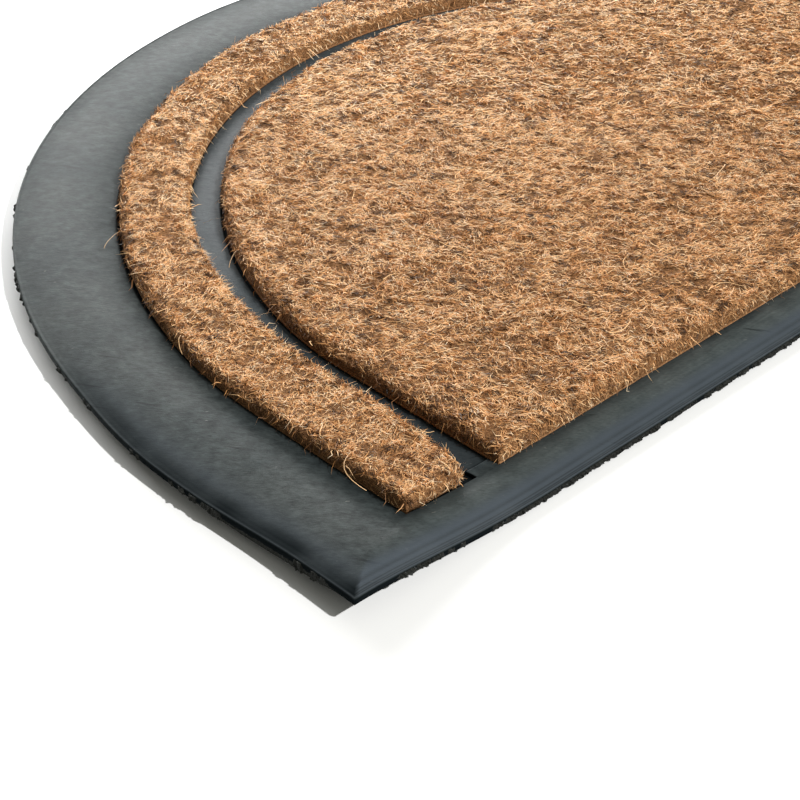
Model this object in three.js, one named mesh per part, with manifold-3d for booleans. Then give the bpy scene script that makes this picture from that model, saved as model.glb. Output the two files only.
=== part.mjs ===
// Half-round doormat: a moulded rubber tray with a raised border, an arch-shaped strip of coir pile in
// one well and a half-round coir panel in the other. The rubber between the two wells is the groove.
// Millimetres, +Z up. The origin is on the floor under the middle of the mat, and the straight front
// edge faces -Y. The arch edge curls up from the floor, most of all at the left front corner.

import * as THREE from 'three';
import { mergeVertices } from 'three/addons/utils/BufferGeometryUtils.js';
import Module from 'manifold-3d';

const wasm = await Module();
wasm.setup();

// Plan.
const MAT_WIDTH = 914;
const MAT_DEPTH = 610;
const ARCH_BORDER = 66;
const FRONT_BORDER = 34;
const BAND_WIDTH = 47;
const GROOVE_WIDTH = 20;

// Heights above the floor, before the curl.
const WELL_FLOOR = 2.4;
const GROOVE_TOP = 3.9;
const PILE_TOP = 15.6;

// The coir stands clear of its well by these gaps at the sides and the bottom.
const SIDE_GAP = 0.7;
const BED_GAP = 0.4;

// Curl of the rubber: the height at the edge and how far in it reaches.
const EDGE_CURL = { height: 7, reach: 135 };
const CORNER_CURL = { height: 3, reach: 100 };
const RIGHT_SIDE_SHARE = 0.35;

// Unevenness of the pile and of the trimmed rubber edge. The lumps are the sum of three long waves, each
// with its length, the heading of its run in degrees and its share of the height.
const LUMP_HEIGHT = 0.8;
const LUMP_WAVES = [
  { length: 71, heading: 28, share: 0.4 },
  { length: 47, heading: 107, share: 0.35 },
  { length: 33, heading: 152, share: 0.25 },
];
const LOCK_LENGTH = 1.8;
const TRIM_DEPTH = 0.8;
const GOLDEN_SHARE = 0.618034;
const LAYER_SHIFT = 0.29;

const ARC_STEPS = 72;
const SIDE_STEPS = 6;
const FRONT_STEPS = 32;

const ARCH_RADIUS = MAT_WIDTH / 2;
const ARCH_CENTRE_Y = MAT_DEPTH / 2 - ARCH_RADIUS;
const FRONT_Y = -MAT_DEPTH / 2;
const PANEL_INSET = ARCH_BORDER + BAND_WIDTH + GROOVE_WIDTH;

// In a closed ring the points of the front edge come after those of the arch, whose middle is its top.
const FRONT_START = ARC_STEPS + 2 * SIDE_STEPS + 1;
const TOP_STEP = (FRONT_START - 1) / 2;

// Rubber, from the flat of the underside out to the edge and back in over the border. Each row is one
// line round the mat: its inset from the arch, its inset from the front edge, its height, and the share
// of the uneven trim that it takes.
const RUBBER_LINES = [
  { arch: EDGE_CURL.reach, front: 32, z: 0, trim: 0 },
  { arch: 96, front: 24, z: 0, trim: 0 },
  { arch: 58, front: 16, z: 0, trim: 0 },
  { arch: 24, front: 8, z: 0, trim: 0 },
  { arch: 0, front: 0, z: 0, trim: 1 },
  { arch: 0, front: 0, z: 2.6, trim: 1 },
  { arch: 1.8, front: 1.8, z: 3.2, trim: 0.3 },
  { arch: 3, front: 3, z: 4.4, trim: 0 },
  { arch: 5, front: 5, z: 3.7, trim: 0 },
  { arch: 22, front: 14, z: 5.3, trim: 0 },
  { arch: 40, front: 22, z: 5.8, trim: 0 },
  { arch: 57, front: 29, z: 5, trim: 0 },
  { arch: ARCH_BORDER - 1, front: FRONT_BORDER - 1, z: 4.7, trim: 0 },
  { arch: ARCH_BORDER + 1.5, front: FRONT_BORDER + 1.5, z: GROOVE_TOP, trim: 0 },
];

// Side of the panel's pile, from the bed up over its rounded rim to the edge of its top. Each row is one
// line round it: how far it stands out past its well's walls, its height, and the shares of a rim lock
// and the lumps.
const RIM_REACH = 8.5;
const PANEL_SIDE = [
  { out: 0, z: WELL_FLOOR + BED_GAP, lock: 0, lump: 0 },
  { out: 0, z: 5.4, lock: 0, lump: 0 },
  { out: 0, z: 9.4, lock: 0.5, lump: 0 },
  { out: -2, z: 12.8, lock: 0.8, lump: 0.4 },
  { out: -RIM_REACH, z: PILE_TOP, lock: 0.2, lump: 1 },
];

// Section of the strip, once round from the bed's outer edge. Each row is a point: its place across the
// strip from 0, outer, to 1, inner, how far it stands out past that side, how far it lies back from the
// strip's end at both ends, its height and its shares.
const RIM_SHARE = RIM_REACH / (BAND_WIDTH - 2 * SIDE_GAP);
const STRIP_SECTION = [
  { across: 0, out: 0, back: 0, z: WELL_FLOOR + BED_GAP, lock: 0, lump: 0 },
  { across: 1, out: 0, back: 0, z: WELL_FLOOR + BED_GAP, lock: 0, lump: 0 },
  { across: 1, out: 0, back: 0, z: 5.4, lock: 0, lump: 0 },
  { across: 1, out: 0, back: 0, z: 9.4, lock: 0.5, lump: 0 },
  { across: 1, out: -2, back: 2, z: 12.8, lock: 0.8, lump: 0.4 },
  { across: 1 - RIM_SHARE, out: 0, back: RIM_REACH, z: PILE_TOP, lock: 0.2, lump: 1 },
  { across: 0.5, out: 0, back: RIM_REACH, z: PILE_TOP + 0.3, lock: 0, lump: 1 },
  { across: RIM_SHARE, out: 0, back: RIM_REACH, z: PILE_TOP, lock: 0.2, lump: 1 },
  { across: 0, out: -2, back: 2, z: 12.8, lock: 0.8, lump: 0.4 },
  { across: 0, out: 0, back: 0, z: 9.4, lock: 0.5, lump: 0 },
  { across: 0, out: 0, back: 0, z: 5.4, lock: 0, lump: 0 },
];

const { lerp, smoothstep } = THREE.MathUtils;

// Curl at a plan point: it dies away inwards from the arch edge and from the left front corner.
function curl(x, y) {
  const fromCentre = y > ARCH_CENTRE_Y ? Math.hypot(x, y - ARCH_CENTRE_Y) : Math.abs(x);
  const fromCorner = Math.hypot(x + ARCH_RADIUS, y - FRONT_Y);
  const side = lerp(1, RIGHT_SIDE_SHARE, smoothstep(x, -ARCH_RADIUS / 4, ARCH_RADIUS / 2));
  const edge = EDGE_CURL.height * (1 - smoothstep(ARCH_RADIUS - fromCentre, 0, EDGE_CURL.reach));
  const corner = CORNER_CURL.height * (1 - smoothstep(fromCorner, 0, CORNER_CURL.reach));
  return edge * side + corner;
}

// Soft hollows and swells of the pile, from -1 to 1.
function lump(x, y) {
  return LUMP_WAVES.reduce((sum, { length, heading, share }) => {
    const angle = THREE.MathUtils.degToRad(heading);
    return sum + share * Math.sin((2 * Math.PI * (x * Math.cos(angle) + y * Math.sin(angle))) / length);
  }, 0);
}

// An uneven run of numbers from -1 to 1, one for each step along a rim, different on each layer.
function uneven(step, layer) {
  return 2 * ((step * GOLDEN_SHARE + layer * LAYER_SHIFT) % 1) - 1;
}

// A line parallel to the arch, from the right front up, round and down to the left front.
function archLine(inset, frontInset) {
  const radius = ARCH_RADIUS - inset;
  const startY = FRONT_Y + frontInset;
  const line = [];
  for (let i = 0; i < SIDE_STEPS; i++) {
    line.push(new THREE.Vector2(radius, lerp(startY, ARCH_CENTRE_Y, i / SIDE_STEPS)));
  }
  for (let i = 0; i <= ARC_STEPS; i++) {
    const angle = (Math.PI * i) / ARC_STEPS;
    line.push(new THREE.Vector2(radius * Math.cos(angle), ARCH_CENTRE_Y + radius * Math.sin(angle)));
  }
  for (let i = 1; i <= SIDE_STEPS; i++) {
    line.push(new THREE.Vector2(-radius, lerp(ARCH_CENTRE_Y, startY, i / SIDE_STEPS)));
  }
  return line;
}

// The same line, closed along the front edge in even steps or with small steps near the corners.
const evenSteps = (t) => t;
const smallAtCorners = (t) => (1 - Math.cos(Math.PI * t)) / 2;

function planRing(inset, frontInset, spacing) {
  const ring = archLine(inset, frontInset);
  const reach = ARCH_RADIUS - inset;
  for (let i = 1; i < FRONT_STEPS; i++) {
    ring.push(new THREE.Vector2(lerp(-reach, reach, spacing(i / FRONT_STEPS)), FRONT_Y + frontInset));
  }
  return ring;
}

// Moves a plan point outwards by an amount, across the arch or the front edge, whichever it is on.
function pushOut(point, amount, onFront) {
  if (onFront) {
    return new THREE.Vector2(point.x, point.y - amount);
  }
  const away = new THREE.Vector2(point.x, Math.max(0, point.y - ARCH_CENTRE_Y)).normalize();
  return point.clone().addScaledVector(away, amount);
}

// Triangles that fill an outline whose points are numbered from first.
function capFaces(outline, first, upwards) {
  return THREE.ShapeUtils.triangulateShape(outline, []).flatMap(([a, b, c]) => {
    const [p, q, r] = [outline[a], outline[b], outline[c]];
    const turnsLeft = q.clone().sub(p).cross(r.clone().sub(p)) > 0;
    return turnsLeft === upwards ? [first + a, first + b, first + c] : [first + a, first + c, first + b];
  });
}

// Triangles between two closed runs of points, numbered from first and from second.
function bandFaces(first, second, count) {
  const faces = [];
  for (let i = 0; i < count; i++) {
    const j = (i + 1) % count;
    faces.push(first + i, first + j, second + j, first + i, second + j, second + i);
  }
  return faces;
}

function geometryOf(points, faces) {
  const coordinates = points.flatMap((p) => [p.x, p.y, p.z]);
  const geometry = new THREE.BufferGeometry();
  geometry.setAttribute('position', new THREE.Float32BufferAttribute(coordinates, 3));
  geometry.setIndex(faces);
  return geometry;
}

// Rings of one length, each counter-clockwise seen from above, joined from first to last. The first is
// closed by a face that looks down, and the last is left open.
function openLoft(rings) {
  const count = rings[0].length;
  const faces = capFaces(rings[0].map((p) => new THREE.Vector2(p.x, p.y)), 0, false);
  for (let r = 0; r + 1 < rings.length; r++) {
    faces.push(...bandFaces(r * count, (r + 1) * count, count));
  }
  return { points: rings.flat(), faces };
}

function loft(rings) {
  const { points, faces } = openLoft(rings);
  const last = points.length - rings[0].length;
  faces.push(...capFaces(rings.at(-1).map((p) => new THREE.Vector2(p.x, p.y)), last, true));
  return geometryOf(points, faces);
}

// A point at its height above the rubber's own flat form: the curl lifts all that lies there alike.
function placed(x, y, z) {
  return new THREE.Vector3(x, y, z + curl(x, y));
}

function toManifold(geometry) {
  geometry.deleteAttribute('normal');
  geometry.deleteAttribute('uv');
  const merged = mergeVertices(geometry);
  const vertProperties = new Float32Array(merged.getAttribute('position').array);
  return new wasm.Manifold(new wasm.Mesh({
    numProp: 3,
    vertProperties,
    triVerts: new Uint32Array(merged.getIndex().array),
  }));
}

function fromManifold(manifold) {
  const { vertProperties, triVerts } = manifold.getMesh();
  const geometry = new THREE.BufferGeometry();
  geometry.setAttribute('position', new THREE.Float32BufferAttribute(vertProperties, 3));
  geometry.setIndex(Array.from(triVerts));
  return geometry;
}

// A section carried along the strip's well from end to end. The shape function moves each of its points
// from its place on the straight line across the well, and the two ends are closed.
function carried(section, gap, shape) {
  const outer = archLine(ARCH_BORDER + gap, FRONT_BORDER + gap);
  const inner = archLine(ARCH_BORDER + BAND_WIDTH - gap, FRONT_BORDER + gap);
  const count = section.length;
  const lastStation = outer.length - 1;
  const points = outer.flatMap((outerPoint, i) => section.map((row) => {
    const isEnd = i === 0 || i === lastStation;
    return shape(outerPoint.clone().lerp(inner[i], row.across), row, i, isEnd);
  }));
  const faces = [];
  for (let i = 0; i < lastStation; i++) {
    faces.push(...bandFaces(i * count, (i + 1) * count, count));
  }
  const endOutline = section.map((row) => new THREE.Vector2(row.across * BAND_WIDTH, row.z));
  faces.push(...capFaces(endOutline, 0, false));
  faces.push(...capFaces(endOutline, lastStation * count, true));
  return geometryOf(points, faces);
}

function stripWell() {
  const section = [
    { across: 0, z: WELL_FLOOR },
    { across: 1, z: WELL_FLOOR },
    { across: 1, z: PILE_TOP },
    { across: 0, z: PILE_TOP },
  ];
  return toManifold(carried(section, 0, (point, row) => placed(point.x, point.y, row.z)));
}

function panelWell() {
  const outline = planRing(PANEL_INSET, FRONT_BORDER, evenSteps);
  return toManifold(loft([WELL_FLOOR, PILE_TOP].map((z) => outline.map(({ x, y }) => placed(x, y, z)))));
}

function rubberBase() {
  const rings = RUBBER_LINES.map((line) => planRing(line.arch, line.front, smallAtCorners).map((point, i) => {
    const trim = -line.trim * TRIM_DEPTH * (i % 2) * Math.abs(uneven(i, 0));
    const { x, y } = pushOut(point, trim, i >= FRONT_START);
    return placed(x, y, line.z);
  }));
  return fromManifold(toManifold(loft(rings)).subtract(stripWell()).subtract(panelWell()));
}

// The panel's top is rows of points from side to side, one row for each step up the arch.
function coirPanel() {
  const rings = PANEL_SIDE.map((line) => {
    const ring = planRing(PANEL_INSET + SIDE_GAP - line.out, FRONT_BORDER + SIDE_GAP - line.out, evenSteps);
    return ring.map((point, i) => {
      const { x, y } = pushOut(point, line.lock * LOCK_LENGTH * uneven(i, 1), i >= FRONT_START);
      return placed(x, y, line.z + line.lump * LUMP_HEIGHT * lump(x, y));
    });
  });
  const { points, faces } = openLoft(rings);
  const rim = rings.at(-1);
  const rimStart = points.length - rim.length;
  const leftFront = FRONT_START - 1;
  const frontPoints = rim.slice(FRONT_START).map((_, i) => rimStart + FRONT_START + i);
  let row = [rimStart + leftFront, ...frontPoints, rimStart];
  for (let step = 1; step < TOP_STEP; step++) {
    const nextRow = [rimStart + leftFront - step];
    for (let i = 1; i < FRONT_STEPS; i++) {
      const { x, y } = rim[leftFront - step].clone().lerp(rim[step], i / FRONT_STEPS);
      nextRow.push(points.length);
      points.push(placed(x, y, PILE_TOP + LUMP_HEIGHT * lump(x, y)));
    }
    nextRow.push(rimStart + step);
    for (let i = 0; i < FRONT_STEPS; i++) {
      faces.push(row[i], row[i + 1], nextRow[i + 1], row[i], nextRow[i + 1], nextRow[i]);
    }
    row = nextRow;
  }
  for (let i = 0; i < FRONT_STEPS; i++) {
    faces.push(row[i], row[i + 1], rimStart + TOP_STEP);
  }
  return geometryOf(points, faces);
}

function coirStrip() {
  return carried(STRIP_SECTION, SIDE_GAP, (point, row, i, isEnd) => {
    const outwards = row.out + row.lock * LOCK_LENGTH * uneven(i, 2 + row.across);
    const { x, y } = pushOut(point, row.across > 0.5 ? -outwards : outwards, false);
    return placed(x, isEnd ? y + row.back : y, row.z + row.lump * LUMP_HEIGHT * lump(x, y));
  });
}

function subPart(name, geometry, color, roughness) {
  geometry.computeVertexNormals();
  const material = new THREE.MeshStandardMaterial({ color, roughness, metalness: 0 });
  const mesh = new THREE.Mesh(geometry, material);
  mesh.name = name;
  return mesh;
}

const doormat = new THREE.Group();
doormat.add(subPart('rubber_base', rubberBase(), 0x3d4446, 0.7));
doormat.add(subPart('coir_band', coirStrip(), 0x9a6c42, 0.95));
doormat.add(subPart('coir_field', coirPanel(), 0x9a6c42, 0.95));

export default doormat;
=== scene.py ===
# Half-round doormat: a moulded rubber tray with coir pile in its two wells. The rubber and the pile are
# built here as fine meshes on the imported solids, and the shot looks at the left front corner from above.
# Plan sizes are in millimetres and turned into metres when a mesh is made.

import math

import bpy
import numpy as np
from mathutils import Matrix, Vector


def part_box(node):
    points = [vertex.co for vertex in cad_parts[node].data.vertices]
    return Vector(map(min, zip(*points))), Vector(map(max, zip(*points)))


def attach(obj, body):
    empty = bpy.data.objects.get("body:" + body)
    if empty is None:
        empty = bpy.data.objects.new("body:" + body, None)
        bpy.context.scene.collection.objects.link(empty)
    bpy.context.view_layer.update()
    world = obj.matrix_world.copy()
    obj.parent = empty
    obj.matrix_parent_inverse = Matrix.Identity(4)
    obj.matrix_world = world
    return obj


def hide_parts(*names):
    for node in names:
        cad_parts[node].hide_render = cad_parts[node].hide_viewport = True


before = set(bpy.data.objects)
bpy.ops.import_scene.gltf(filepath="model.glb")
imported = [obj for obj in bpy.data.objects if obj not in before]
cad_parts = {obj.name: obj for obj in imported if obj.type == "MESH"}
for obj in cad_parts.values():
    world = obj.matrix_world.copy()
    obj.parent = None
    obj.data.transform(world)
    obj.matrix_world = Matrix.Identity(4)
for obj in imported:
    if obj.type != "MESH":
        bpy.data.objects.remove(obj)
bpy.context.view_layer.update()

MM = 0.001

# Plan and heights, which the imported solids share.
low, high = (np.array(corner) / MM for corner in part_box("rubber_base"))
ARCH_RADIUS = (high[0] - low[0]) / 2
FRONT_Y = low[1]
ARCH_CENTRE_Y = high[1] - ARCH_RADIUS
ARCH_BORDER = 66.0
FRONT_BORDER = 34.0
BAND_WIDTH = 47.0
GROOVE_WIDTH = 20.0
PANEL_INSET = ARCH_BORDER + BAND_WIDTH + GROOVE_WIDTH
WELL_FLOOR = 2.4
GROOVE_TOP = 3.9
SIDE_GAP = 0.7
BED_GAP = 0.4
EDGE_CURL, EDGE_REACH = 7.0, 135.0
CORNER_CURL, CORNER_REACH = 3.0, 100.0
RIGHT_SIDE_SHARE = 0.35
SIDE_BULGE = 4.4
LUMP_HEIGHT = 0.8
LUMP_WAVES = [(71, 28, 0.4), (47, 107, 0.35), (33, 152, 0.25)]

# Way that the pile is combed, as a heading in the plan: mostly from the arch to the front edge.
COMB_HEADING = math.radians(-70)

# Camera, in metres and degrees. The focal length is in pixels of the 800-pixel frame.
CAMERA_PLACE = Vector((-0.85076, -0.74977, 0.54794))
CAMERA_AZIMUTH = math.radians(-43.57)
CAMERA_ELEVATION = math.radians(35.26)
FOCAL_PIXELS = 1700.7
FRAME_PIXELS = 800
SENSOR = 36.0

# Way to the key light: right, front and up.
KEY_DIRECTION = Vector((0.42, -0.88, 1.0))

# Broad light behind the mat, which puts the sheen on the rubber.
SOFTBOX_PLACE = Vector((0.35, 1.45, 0.62))
SOFTBOX_SIZE = (1.8, 0.45)
SOFTBOX_AIM = Vector((-0.35, -0.1, 0))


def smoothstep(x, start, end):
    t = np.clip((x - start) / (end - start), 0, 1)
    return t * t * (3 - 2 * t)


def unit(vectors):
    return vectors / np.linalg.norm(vectors, axis=-1, keepdims=True)


def curl(x, y):
    """Height of the rubber's curl at a plan point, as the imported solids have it."""
    from_corner = np.hypot(x + ARCH_RADIUS, y - FRONT_Y)
    side = 1 + (RIGHT_SIDE_SHARE - 1) * smoothstep(x, -ARCH_RADIUS / 4, ARCH_RADIUS / 2)
    edge = EDGE_CURL * (1 - smoothstep(inset_of(x, y), 0, EDGE_REACH))
    return edge * side + CORNER_CURL * (1 - smoothstep(from_corner, 0, CORNER_REACH))


def arch_angle(x, y):
    """Degrees round the arch from its right end; the straight sides count as its ends."""
    return np.degrees(np.arctan2(np.maximum(0, y - ARCH_CENTRE_Y), x))


def plan_area(radius, front):
    """Area inside an arch of this radius and its straight sides, down to a front edge."""
    return math.pi * radius ** 2 / 2 + 2 * radius * (ARCH_CENTRE_Y - front)


def inset_of(x, y):
    """How far a plan point lies in from the arch."""
    return ARCH_RADIUS - np.where(y > ARCH_CENTRE_Y, np.hypot(x, y - ARCH_CENTRE_Y), np.abs(x))


class Noise:
    """Smooth value noise on the plan, from -1 to 1, with square cells of a given size."""

    SIZE = 256

    def __init__(self, seed, cell, stretch=1.0, heading=0.0):
        self.grid = np.random.default_rng(seed).uniform(-1, 1, (self.SIZE, self.SIZE))
        self.cell = cell
        self.stretch = stretch
        self.along = np.array([math.cos(heading), math.sin(heading)])

    def at(self, i, j):
        return self.grid[i % self.SIZE, j % self.SIZE]

    def __call__(self, x, y):
        u = (x * self.along[0] + y * self.along[1]) / (self.cell * self.stretch)
        v = (y * self.along[0] - x * self.along[1]) / self.cell
        i, j = np.floor(u).astype(int), np.floor(v).astype(int)
        fu, fv = u - i, v - j
        fu, fv = fu * fu * (3 - 2 * fu), fv * fv * (3 - 2 * fv)
        near = self.at(i, j) * (1 - fu) + self.at(i + 1, j) * fu
        far = self.at(i, j + 1) * (1 - fu) + self.at(i + 1, j + 1) * fu
        return near * (1 - fv) + far * fv


def linked(name, data):
    """A new object of the scene with this data."""
    obj = bpy.data.objects.new(name, data)
    bpy.context.scene.collection.objects.link(obj)
    return obj


def mesh_object(name, points, triangles, material, smooth=True, attributes=()):
    """An object from points in millimetres and triangles, with one number a point for each attribute."""
    mesh = bpy.data.meshes.new(name)
    points = np.ascontiguousarray(points, dtype=np.float64) * MM
    triangles = np.ascontiguousarray(triangles, dtype=np.int32)
    mesh.vertices.add(len(points))
    mesh.vertices.foreach_set("co", points.ravel())
    mesh.loops.add(triangles.size)
    mesh.loops.foreach_set("vertex_index", triangles.ravel())
    mesh.polygons.add(len(triangles))
    mesh.polygons.foreach_set("loop_start", np.arange(0, triangles.size, 3, dtype=np.int32))
    mesh.polygons.foreach_set("use_smooth", np.full(len(triangles), smooth))
    for key, values in attributes:
        layer = mesh.attributes.new(key, "FLOAT", "POINT")
        layer.data.foreach_set("value", np.ascontiguousarray(values, dtype=np.float32))
    mesh.update(calc_edges=True)
    mesh.validate()
    obj = linked(name, mesh)
    mesh.materials.append(material)
    return obj


def quads(a, b, c, d):
    """Two triangles for each four point numbers."""
    return np.concatenate([np.stack([a, b, c], -1).reshape(-1, 3), np.stack([a, c, d], -1).reshape(-1, 3)])


def closed_grid(rows, columns):
    """Triangles of a grid of points, row by row, whose rows are closed rings. They face along row step x
    column step."""
    i, j = np.meshgrid(np.arange(rows - 1), np.arange(columns), indexing="ij")
    after = (j + 1) % columns
    return quads(*(p * columns + q for p, q in ((i, j), (i, after), (i + 1, after), (i + 1, j))))


def carried_section(places, count):
    """Triangles of a closed section of count points carried through so many places, with its end caps."""
    i = np.arange(1, count - 1)
    cap = np.stack([np.zeros_like(i), i, i + 1], -1)
    return np.concatenate([closed_grid(places, count)[:, ::-1], cap, (places - 1) * count + cap[:, ::-1]])


# Materials.


def new_material(name):
    material = bpy.data.materials.new(name)
    material.use_nodes = True
    return material, material.node_tree, material.node_tree.nodes["Principled BSDF"]


def put(tree, node, **values):
    """Sets each named socket of a node to a value, or links it where the value is another node's output."""
    for key, value in values.items():
        socket = node.inputs[key.replace("_", " ")]
        if isinstance(value, bpy.types.NodeSocket):
            tree.links.new(value, socket)
        else:
            socket.default_value = (*value, 1) if socket.type == "RGBA" else value


def add_node(tree, kind, **settings):
    node = tree.nodes.new(kind)
    for key, value in settings.items():
        setattr(node, key, value)
    return node


def attribute(tree, name):
    return add_node(tree, "ShaderNodeAttribute", attribute_name=name).outputs["Fac"]


def noise_node(tree, vector, scale, detail=4.0, roughness=0.55):
    node = add_node(tree, "ShaderNodeTexNoise")
    put(tree, node, Scale=scale, Detail=detail, Roughness=roughness, Vector=vector)
    return node.outputs["Fac"]


def ramp_node(tree, factor, stops):
    node = add_node(tree, "ShaderNodeValToRGB")
    elements = node.color_ramp.elements
    while len(elements) < len(stops):
        elements.new(0.5)
    for element, (place, colour) in zip(elements, stops):
        element.position = place
        element.color = (*colour, 1)
    put(tree, node, Fac=factor)
    return node.outputs["Color"]


def grey(value):
    return (value, value, value)


def mix_colour(tree, factor, first, second, blend="MIX"):
    node = add_node(tree, "ShaderNodeMix", data_type="RGBA", blend_type=blend)
    put(tree, node, Factor=factor, A=first, B=second)
    return node.outputs["Result"]


def mapped(tree, heading=0, scale=(1, 1, 1)):
    """Object coordinates turned to a heading and scaled, in metres."""
    coordinates = add_node(tree, "ShaderNodeTexCoord")
    mapping = add_node(tree, "ShaderNodeMapping", vector_type="TEXTURE")
    put(tree, mapping, Rotation=(0, 0, heading), Scale=scale, Vector=coordinates.outputs["Object"])
    return mapping.outputs["Vector"]


def bump_node(tree, height, distance, strength=1.0, **normal):
    node = add_node(tree, "ShaderNodeBump")
    put(tree, node, Distance=distance, Strength=strength, Height=height, **normal)
    return node.outputs["Normal"]


def rubber_material():
    """Matt rubber: cloudy grey, fine short streaks on the slant, with painted shade, a cool painted
    reflection and a painted sheen on the front border where its attributes ask.
    """
    material, tree, shader = new_material("rubber")
    plain = mapped(tree)
    clouds = noise_node(tree, plain, 24, 3)
    streaks = noise_node(tree, mapped(tree, math.radians(-43), (2.6, 1, 1)), 900, 2, 0.6)
    mottle = noise_node(tree, mapped(tree, math.radians(-43), (1.6, 1, 1)), 240, 4, 0.65)
    blotches = noise_node(tree, plain, 95, 3)
    grain = noise_node(tree, plain, 2600, 2)
    colour = ramp_node(tree, clouds, [(0.3, (0.033, 0.0405, 0.041)), (0.7, (0.045, 0.0515, 0.0505))])
    # The front attribute carries a painted sheen: the front border lighter, more so toward the right.
    front = attribute(tree, "front")
    # On the front border the mottle gives way to fine lines along it, whose brighter tones are the painted
    # sheen.
    lines = noise_node(tree, mapped(tree, 0, (14, 1, 1)), 420, 3, 0.6)
    lines = ramp_node(tree, lines, [(0.3, grey(1.3)), (0.7, grey(1.8))])
    for factor, low_tone, high_tone in ((streaks, 0.84, 1.17), (mottle, 0.62, 1.4), (blotches, 0.84, 1.16)):
        tones = ramp_node(tree, factor, [(0.3, grey(low_tone)), (0.7, grey(high_tone))])
        if factor is mottle:
            tones = mix_colour(tree, front, tones, lines)
        colour = mix_colour(tree, 1.0, colour, tones, "MULTIPLY")
    specks = ramp_node(tree, noise_node(tree, mapped(tree, math.radians(-30), (2.2, 1, 1)), 330, 2), [
        (0.735, grey(0)), (0.785, grey(0.8))])
    colour = mix_colour(tree, specks, colour, (0.15, 0.155, 0.145))
    scores = ramp_node(tree, noise_node(tree, mapped(tree, math.radians(-58), (9, 1, 1)), 210, 1), [
        (0.235, grey(0.75)), (0.27, grey(0))])
    colour = mix_colour(tree, scores, colour, (0.016, 0.018, 0.018))
    # Painted reflection: a cooler, lighter grey.
    colour = mix_colour(tree, attribute(tree, "painted_reflection"), colour, (0.062, 0.075, 0.09))
    # Painted shade: near-black where that attribute is high; the roughness rises there too.
    colour = mix_colour(tree, attribute(tree, "painted_shade"), colour, (0.004, 0.006, 0.007))
    rough = ramp_node(tree, streaks, [(0.3, grey(0.32)), (0.75, grey(0.42))])
    rough = mix_colour(tree, attribute(tree, "painted_shade"), rough, grey(0.95))
    normal = bump_node(tree, streaks, 0.0003, 0.4)
    normal = bump_node(tree, grain, 0.0001, 0.5, Normal=normal)
    put(tree, shader, Base_Color=colour, Roughness=rough, Normal=normal, Specular_IOR_Level=0.025)
    return material


def flash_material():
    """Torn rubber of the trimmed edge, nearly black, which is partly painted shade of the side, with grey
    nicks that are painted highlights.
    """
    material, tree, shader = new_material("rubber_flash")
    grain = noise_node(tree, mapped(tree), 900, 3)
    colour = ramp_node(tree, grain, [
        (0.5, (0.007, 0.008, 0.006)), (0.66, (0.016, 0.018, 0.017)), (0.72, (0.07, 0.08, 0.085))])
    put(tree, shader, Base_Color=colour, Normal=bump_node(tree, grain, 0.0005), Roughness=0.75,
        Specular_IOR_Level=0.2)
    return material


COIR_STOPS = [
    (0.0, (0.02, 0.013, 0.01)),
    (0.16, (0.17, 0.075, 0.03)),
    (0.38, (0.57, 0.27, 0.095)),
    (0.6, (0.87, 0.475, 0.21)),
    (0.82, (0.96, 0.65, 0.35)),
    (1.0, (0.97, 0.81, 0.6)),
]


def fibre_material():
    """Coconut fibre: each fibre's shade carries its own tone and painted shade, such as the painted shade
    that darkens it toward its root.
    """
    material, tree, shader = new_material("coir_fibre")
    colour = ramp_node(tree, attribute(tree, "shade"), COIR_STOPS)
    put(tree, shader, Base_Color=colour, Roughness=0.5, Specular_IOR_Level=0.2)
    return material


def bed_material():
    """The packed fibre under the loose ends: painted dark as the shade between the fibres, with the lie of
    the strands in colour and bump, and lighter and redder at the cut base."""
    material, tree, shader = new_material("coir_bed")
    strands = noise_node(tree, mapped(tree, COMB_HEADING, (5, 1, 1)), 1400, 4, 0.65)
    cross = noise_node(tree, mapped(tree, COMB_HEADING + math.radians(64), (5, 1, 1)), 1500, 4, 0.65)
    mixed = mix_colour(tree, 0.45, strands, cross)
    colour = ramp_node(tree, mixed, [
        (0.36, (0.04, 0.018, 0.008)), (0.5, (0.2, 0.095, 0.04)), (0.64, (0.5, 0.27, 0.12))])
    base = ramp_node(tree, mixed, [(0.34, (0.22, 0.095, 0.04)), (0.6, (0.6, 0.31, 0.145))])
    colour = mix_colour(tree, attribute(tree, "base"), colour, base)
    put(tree, shader, Base_Color=colour, Normal=bump_node(tree, mixed, 0.0012), Roughness=0.85,
        Specular_IOR_Level=0.1)
    return material


# Plan lines.


def arch_points(inset, straight, arc_steps):
    """Points of a line parallel to the arch, from the right front up, round and down to the left front.
    The straight sides have their points at the given places along Y."""
    radius = ARCH_RADIUS - inset
    angle = np.linspace(0, math.pi, arc_steps + 1)
    side = np.full(len(straight), radius)
    x = np.concatenate([side, radius * np.cos(angle), -side])
    y = np.concatenate([straight, ARCH_CENTRE_Y + radius * np.sin(angle), straight[::-1]])
    return np.stack([x, y], -1)


def arch_outward(points):
    """Unit plan vectors straight out across the arch."""
    away = np.stack([points[:, 0], np.maximum(0, points[:, 1] - ARCH_CENTRE_Y)], -1)
    return unit(away)


def closed_ring(inset, front_inset, side_steps, arc_steps, front_steps):
    """A line parallel to the mat's outline, and the outward plan vector at each point."""
    straight = np.linspace(FRONT_Y + front_inset, ARCH_CENTRE_Y, side_steps, endpoint=False)
    arch = arch_points(inset, straight, arc_steps)
    reach = ARCH_RADIUS - inset
    x = np.linspace(-reach, reach, front_steps + 1)[1:-1]
    front = np.stack([x, np.full_like(x, FRONT_Y + front_inset)], -1)
    outward = np.concatenate([arch_outward(arch), np.tile([0.0, -1.0], (len(front), 1))])
    return np.concatenate([arch, front]), outward


def placed(plan, z):
    return np.column_stack([plan, z + curl(*plan.T)])


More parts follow.
